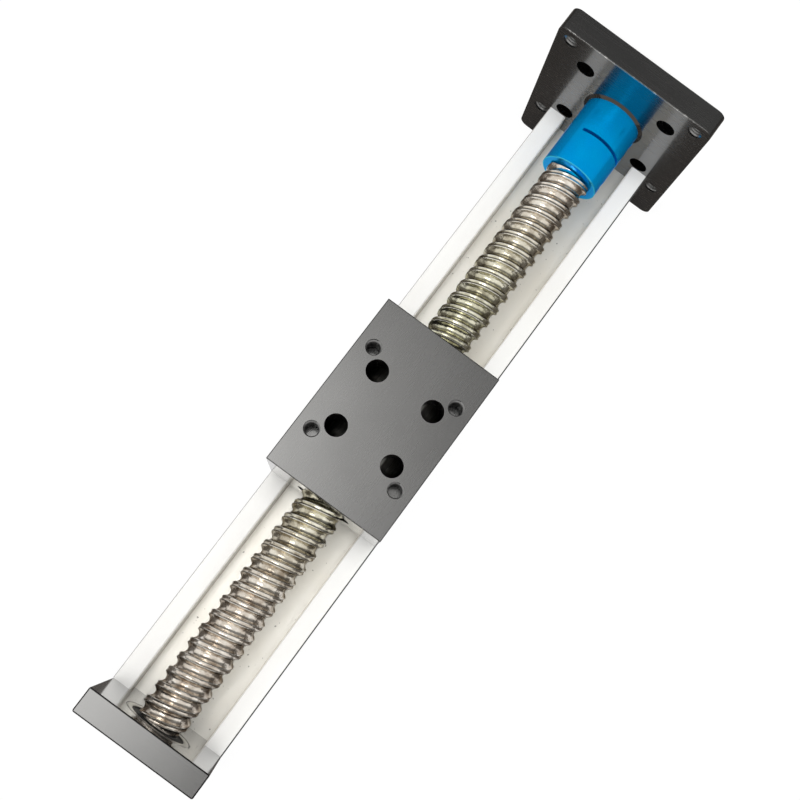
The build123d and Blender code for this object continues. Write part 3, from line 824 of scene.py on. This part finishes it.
# %% Guide rail
RAIL_END, RAIL_HALF, RAIL_TOP, RAIL_SEAT = 116.5 * MM, 6 * MM, 22 * MM, 17.5 * MM
TRACK_OUT, TRACK_HEIGHT, TRACK_RADIUS = 6.3 * MM, 19.2 * MM, 0.9 * MM
RAIL_STEP = 25 * MM
RAIL_PLACES = [(step - 4) * RAIL_STEP for step in range(9)]

rail = block("rail", (-RAIL_END, -RAIL_HALF, GROOVE_FLOOR), (RAIL_END, RAIL_HALF, RAIL_TOP))
for side in (-1, 1):
    cut(rail, [across("track", -120 * MM, 120 * MM, side * TRACK_OUT, TRACK_HEIGHT, TRACK_RADIUS, 24)])
cut(rail, [upright("hole", x, 0, RAIL_SEAT, 30 * MM, WIDE_SINK_RADIUS, 48) for x in RAIL_PLACES])
cut(rail, [upright("hole", x, 0, 10 * MM, 18 * MM, M3_SLIP, 32) for x in RAIL_PLACES])
soften(rail, SMALL_EDGE)
dress(rail, "base", ["guide_rail"], rail_steel)
seats = [(x, 0, RAIL_SEAT) for x in RAIL_PLACES]
rail_screws = cap_screws("rail_cap_screws", seats, (0, 0, 1), shank=8 * MM)
dress(rail_screws, "base", ["guide_rail_screws"], black_oxide)

# %% [markdown]
# ## Ball thread
# Two right-handed threads run side by side, 5 mm apart, so one turn moves the nut
# 10 mm. Each is a wide round groove between narrow ridges. Rolling the thread raises
# both edges of a ridge, so two bright crests run along it with a furrow between. The
# profile of both grooves is drawn along X: the ridge by its points, the groove by its
# arc. It is then wound 10 mm forward a turn.

# %% Thread profile
PITCH, LEAD = 5 * MM, 10 * MM
ROOT_RADIUS, ARC_STEPS = 6.4 * MM, 6
CREST, FURROW = 0.62 * MM, 0.2 * MM
SLOPE, SLOPE_DROP = 0.18 * MM, 0.06 * MM
ARC_START, ARC_DROP = 0.95 * MM, 0.22 * MM

chord, dip = PITCH / 2 - ARC_START, SCREW_RADIUS - ARC_DROP - ROOT_RADIUS
arc_radius = (chord * chord + dip * dip) / (2 * dip)
half_arc = math.asin(chord / arc_radius)
profile = [
    (-CREST, SCREW_RADIUS),
    (-CREST / 3, SCREW_RADIUS - FURROW),
    (CREST / 3, SCREW_RADIUS - FURROW),
    (CREST, SCREW_RADIUS),
    (CREST + SLOPE, SCREW_RADIUS - SLOPE_DROP),
]
for step in range(2 * ARC_STEPS + 1):
    angle = half_arc * (step / ARC_STEPS - 1)
    rise = arc_radius * (1 - math.cos(angle))
    profile.append((PITCH / 2 + arc_radius * math.sin(angle), ROOT_RADIUS + rise))
profile.append((PITCH - CREST - SLOPE, SCREW_RADIUS - SLOPE_DROP))
profile += [(x + PITCH, radius) for x, radius in profile] + [(LEAD - CREST, SCREW_RADIUS)]
print("groove radius", round(arc_radius / MM, 2), "mm")

# %% [markdown]
# ## Ball screw
# The wound thread is longer than it has to be. Bisecting it square at both ends gives
# the clean faces that a saw leaves. It is moved so that one ridge crosses the top of
# the screw at the ridge place. The shoulder and journal in the bearing, with a groove
# for the circlip, and the journal in the coupling are turned separately.

# %% Ball screw
THREAD_START, THREAD_END, RIDGE_PLACE = -116.8 * MM, 91.5 * MM, -111 * MM
BEARING_FACE = -PLATE_FACE - 7 * MM
JOURNAL, SHOULDER, CLIP_GROOVE, CORE = 3.99 * MM, 5.2 * MM, 3.74 * MM, 0.01 * MM
TAIL_END, NOSE_END, OVERLAP = BEARING_FACE - 0.8 * MM, 100.9 * MM, 0.1 * MM
TURNS, TURN_STEPS = 24, 64

thread = wind(profile, LEAD, TURNS, TURN_STEPS)
thread.location = (RIDGE_PLACE - 2 * LEAD, 0, AXIS_Z)
settle("thread")
bpy.ops.object.mode_set(mode="EDIT")
for x, sign in ((THREAD_START, -1), (THREAD_END, 1)):
    bpy.ops.mesh.select_all(action="SELECT")
    bpy.ops.mesh.bisect(plane_co=(x, 0, 0), plane_no=(sign, 0, 0), clear_outer=True, use_fill=True)
weld()
smooth(thread)
tail = lathe("tail", [
    (TAIL_END, CORE), (TAIL_END, 3.5 * MM), (BEARING_FACE - 0.6 * MM, CLIP_GROOVE),
    (BEARING_FACE, CLIP_GROOVE), (BEARING_FACE, JOURNAL), (-PLATE_FACE, JOURNAL),
    (-PLATE_FACE, SHOULDER), (THREAD_START + OVERLAP, SHOULDER), (THREAD_START + OVERLAP, CORE),
])
nose = lathe("nose", [
    (THREAD_END - OVERLAP, CORE), (THREAD_END - OVERLAP, JOURNAL), (NOSE_END, JOURNAL), (NOSE_END, CORE),
])
ball_screw = join("ball_screw_threaded", [thread, tail, nose])
dress(ball_screw, "screw", ["ball_screw"], screw_steel)

# %% [markdown]
# ## Flexible coupling
# A bar is bored in two steps and sawn almost through from two sides, so that it can
# bend where shaft and motor don't quite line up. Two set screws grip at each end. The
# saw is a block, turned about the screw's axis before it cuts. Each saw cut is given
# as its place along X, its turn in degrees and the height over the axis where it stops.

# %% Coupling
COUPLING_MID = (COUPLING_START + COUPLING_END) / 2
SAW_CUTS = (COUPLING_MID, 68, -1.7 * MM), (COUPLING_MID - 2.5 * MM, -150, 3.4 * MM)
SAW_HALF, BEYOND, GRIP_INSET = 0.55 * MM, 15 * MM, 4.6 * MM
GRIP_SCREW, GRIP_MOTOR = COUPLING_START + GRIP_INSET, COUPLING_END - GRIP_INSET
MOTOR_BORE, SCREW_BORE, SCREW_BORE_DEPTH = 2.5 * MM, 4 * MM, 10.5 * MM
GRIP_RADIUS = 2.1 * MM


def away(turn):
    """Direction that leaves the screw's axis at a turn from straight up, towards -Y."""
    return Vector((0, -math.sin(math.radians(turn)), math.cos(math.radians(turn))))


coupling = across("coupling", COUPLING_START, COUPLING_END, 0, AXIS_Z, COUPLING_RADIUS, 128)
start, end = COUPLING_START - MM, COUPLING_END + MM
cut(coupling, [across("shaft", start, end, 0, AXIS_Z, MOTOR_BORE, 64)])
cut(coupling, [across("seat", start, COUPLING_START + SCREW_BORE_DEPTH, 0, AXIS_Z, SCREW_BORE, 64)])
for x, turn, stop in SAW_CUTS:
    saw = block("saw", (x - SAW_HALF, -BEYOND, stop), (x + SAW_HALF, BEYOND, BEYOND))
    saw.rotation_euler = (math.radians(turn), 0, 0)
    saw.location = (0, 0, AXIS_Z)
    cut(coupling, [settle("saw")])
for x in (GRIP_SCREW, GRIP_MOTOR):
    for turn in (90, 180):
        middle = Vector((x, 0, AXIS_Z))
        cut(coupling, [bar("drill", middle, middle + away(turn) * BEYOND, GRIP_RADIUS, 32)])
soften(coupling, BROKEN_EDGE)
dress(coupling, "screw", ["shaft_coupling"], coupling_blue)

# %% [markdown]
# ## Set screws
# A set screw has no head, only a hexagon socket in its end. The coupling's four press
# on the two shafts, and two more hold the ball nut in the slider. Each points at the
# screw's axis, so one helper makes them all from a place, a direction and a lift.

# %% Set screws
SET_RADIUS, SET_KEY, SET_KEY_DEPTH = 1.99 * MM, 1.15 * MM, 1.6 * MM


def set_screw(x, direction, lift, length):
    """Set screw that points at the screw's axis and ends at a lift from it."""
    foot = Vector((x, 0, AXIS_Z)) + direction * lift
    screw = bar("set", foot, foot + direction * length, SET_RADIUS, 32)
    socket = foot + direction * (length - SET_KEY_DEPTH)
    cut(screw, [bar("key", socket, foot + direction * (length + MM), SET_KEY, 6)])
    return soften(screw, SMALL_EDGE)


set_screws = [
    set_screw(x, away(turn), lift, length=4 * MM)
    for x, lift in ((GRIP_SCREW, 4 * MM), (GRIP_MOTOR, 2.9 * MM))
    for turn in (90, 180)
]
coupling_screws = join("coupling_grub_screws", set_screws)
dress(coupling_screws, "screw", ["coupling_set_screws"], black_oxide)
set_screws = [set_screw(NUT_MID, away(turn), NUT_RADIUS, length=6 * MM) for turn in (90, -90)]
dress(join("nut_grub_screws", set_screws), "carriage", ["nut_set_screws"], black_oxide)

# %% [markdown]
# ## Bearing
# Of the ball bearing in the idler plate only rings show round the screw: its outer
# ring, a rubber seal on each side, and the circlip that keeps the screw in place. Each
# is turned from its section. The circlip's mouth is then cut out below the journal.

# %% Bearing rings
BEARING_MID = -PLATE_FACE - 3.5 * MM
RACE = (
    (-3.2, 11), (3.2, 11), (3.5, 10.7), (3.5, 9.25), (3.3, 9.05), (2.7, 9.05),
    (2.7, 9.5), (-2.7, 9.5), (-2.7, 9.05), (-3.3, 9.05), (-3.5, 9.25), (-3.5, 10.7),
)
SEAL = (2.8, 9.0), (3.4, 9.0), (3.4, 8.5), (3.15, 8.2), (3.15, 6.8), (3.4, 6.5), (3.4, 5.85), (2.8, 5.85)
CIRCLIP = (-3.52, 5.8), (-3.52, 3.76), (-4.18, 3.76), (-4.18, 5.8)
MOUTH_HALF = 2.4 * MM


def turned_ring(name, start, section, side=1):
    """Ring from a section of (x, radius) in millimetres, with x from a start along X."""
    return lathe(name, [(start + side * x * MM, radius * MM) for x, radius in (*section, section[0])])


race = turned_ring("bearing_race", BEARING_MID, RACE)
dress(race, "base", ["bearing_outer_ring"], rail_steel)
for name, node, side in (
    ("bearing_seal_front", "bearing_seal_inner", 1),
    ("bearing_seal_back", "bearing_seal_outer", -1),
):
    seal = turned_ring(name, BEARING_MID, SEAL, side)
    dress(seal, "base", [node], dark_rubber)

circlip = turned_ring("journal_circlip", BEARING_MID, CIRCLIP)
low, high = (-MOUTH_HALF, 30 * MM), (MOUTH_HALF, AXIS_Z - 2 * MM)
cut(circlip, [block("mouth", (BEARING_FACE - 2 * MM, *low), (BEARING_FACE, *high))])
soften(circlip, 0.08 * MM)
dress(circlip, "screw", ["shaft_circlip"], black_oxide)

# %% [markdown]
# ## Nut faces
# The ball nut hides in the slider. At each of its ends a pale plastic wiper hugs the
# thread, and a lock ring with four slots for a key holds the nut towards the motor.
# They are turned like the bearing's rings, and the slots are two crossed blocks.

# %% Nut rings
NUT_START, NUT_END = -35 * MM, 15 * MM
SLOT_HALF, SLOT_FLOOR = 1.2 * MM, NUT_END + 2.25 * MM
WIPER = (2.8, 10.6), (0.3, 10.6), (0, 10.3), (0, 8.1), (0.3, 7.8), (2.8, 7.8)
LOCK = (0, 12.99), (4.5, 12.99), (4.5, 9.5), (0, 9.5)

for name, node, face, side in (
    ("nut_wiper", "nut_wiper_front", NUT_END, -1),
    ("nut_wiper_back", "nut_wiper_rear", NUT_START, 1),
):
    wiper = turned_ring(name, face, WIPER, side)
    dress(wiper, "carriage", [node], pale_plastic)

lock_ring = turned_ring("nut_lock", NUT_END, LOCK)
for y, z in ((BEYOND, SLOT_HALF), (SLOT_HALF, BEYOND)):
    cut(lock_ring, [block("key", (SLOT_FLOOR, -y, AXIS_Z - z), (25 * MM, y, AXIS_Z + z))])
soften(lock_ring, 0.15 * MM)
dress(lock_ring, "carriage", ["nut_lock_ring"], black_oxide)

# %% [markdown]
# ## Floor
# The module stands on a pale floor, which the camera sees as almost white, so that it
# matches the photograph's plain background and still keeps a soft shadow. A white
# floor would also fill every mirror, and the photograph's metal mirrors a dark
# surround. So mirrored rays see dark slate instead, apart from a glowing strip beside
# the slider, a painted pool of light. The camera sees slate too, in a soft patch behind
# the motor plate, a painted shadow, because the photograph is dark there through the
# pilot bore.

# %% Floor
CHALK, SLATE, WHITE = (0.9, 0.9, 0.9, 1), (0.06, 0.052, 0.045, 1), (1, 1, 1, 1)

bpy.ops.object.select_all(action="DESELECT")
bpy.ops.mesh.primitive_plane_add(size=4, location=(0, 0, -0.2 * MM))
floor = settle("floor")
white, place = paint("white_floor")
camera_ray = place.node("ShaderNodeLightPath", output=0)
glossy_ray = place.node("ShaderNodeLightPath", output=3)
x, y = along_axis(place, 0), along_axis(place, 1)
# Painted shadow: a soft dark patch on the floor behind the motor plate.
painted_shadow_behind_plate = span(x, 120 * MM, 130 * MM) * span(x, 170 * MM, 155 * MM)
painted_shadow_behind_plate = painted_shadow_behind_plate * span(y, -30 * MM, -18 * MM) * span(y, 30 * MM, 18 * MM)
# Painted pool of light: a glowing strip beside the slider that only mirrors see.
painted_glow_by_slider = span(x, -75 * MM, -55 * MM) * span(x, 0.0, -20 * MM)
glow = place.node("ShaderNodeEmission", {}, {"Color": WHITE, "Strength": 1.0})
chalk = place.node("ShaderNodeBsdfDiffuse", {}, {"Color": CHALK})
slate = place.node("ShaderNodeBsdfDiffuse", {}, {"Color": SLATE})


def mix(mask, first, second):
    """Mix of two shaders by a mask."""
    return place.node("ShaderNodeMixShader", {}, {0: mask, 1: first, 2: second})


pale = mix(camera_ray, chalk, mix(0.93, chalk, glow))
dark = mix((painted_glow_by_slider * 0.75 + 0.05) * glossy_ray, slate, glow)
both = mix(glossy_ray + camera_ray * painted_shadow_behind_plate, pale, dark)
place.node("ShaderNodeOutputMaterial", {}, {0: both})
floor.data.materials.append(white)
print("floor done")

# %% [markdown]
# ## Light
# One soft lamp overhead gives the shadows. The camera sees a white sky, matt surfaces
# are lit by an almost even one, and mirrored rays see a room that is bright above the
# idler end and darker past the motor end, with a window high on the +Y side. One real
# room can't give both the white background and the contrast in the metal, so the sky
# is split by kinds of ray. The lamp is kept out of mirrors.

# %% Light
world = bpy.data.worlds.new("studio")
bpy.context.scene.world = world
world.use_nodes = True
world.node_tree.nodes.clear()
sky = Wire(world.node_tree, None)
look = sky.node("ShaderNodeTexCoord", output=0)
along, side, high = (along_axis(look, axis) for axis in range(3))
room = span(along, 0.1, 0.55, 1.0, 0.22) * span(high, 0.0, 0.12, 0.12, 0.9)
window = span(along, 0.0, 0.34, 2.4, 0.0) * span(side, -0.03, 0.14, 0.0, 1.45) * span(high, 0.85, 0.97)
mirrored = sky.node("ShaderNodeLightPath", output=3)
direct = sky.node("ShaderNodeLightPath", output=0)
matt = (1 - mirrored - direct) * span(high, 0.0, 0.6, 0.95, 0.82)
level = mirrored * (room + window) + direct + matt
tint = blend(direct, (1, 0.99, 0.965, 1), WHITE)
shade = sky.node("ShaderNodeBackground", {}, {"Color": tint, "Strength": level})
sky.node("ShaderNodeOutputWorld", {}, {0: shade})

lamp_data = bpy.data.lights.new("key", "AREA")
lamp_data.size = 0.6
lamp_data.energy = 10.2
lamp = bpy.data.objects.new("key", lamp_data)
bpy.context.collection.objects.link(lamp)
lamp.location = (-0.03, 0.0, 1.2)
lamp.visible_glossy = False
print("light done")

# %% [markdown]
# ## Finish
# The view layer is brought up to date at the end.

# %% Finish
bpy.context.view_layer.update()
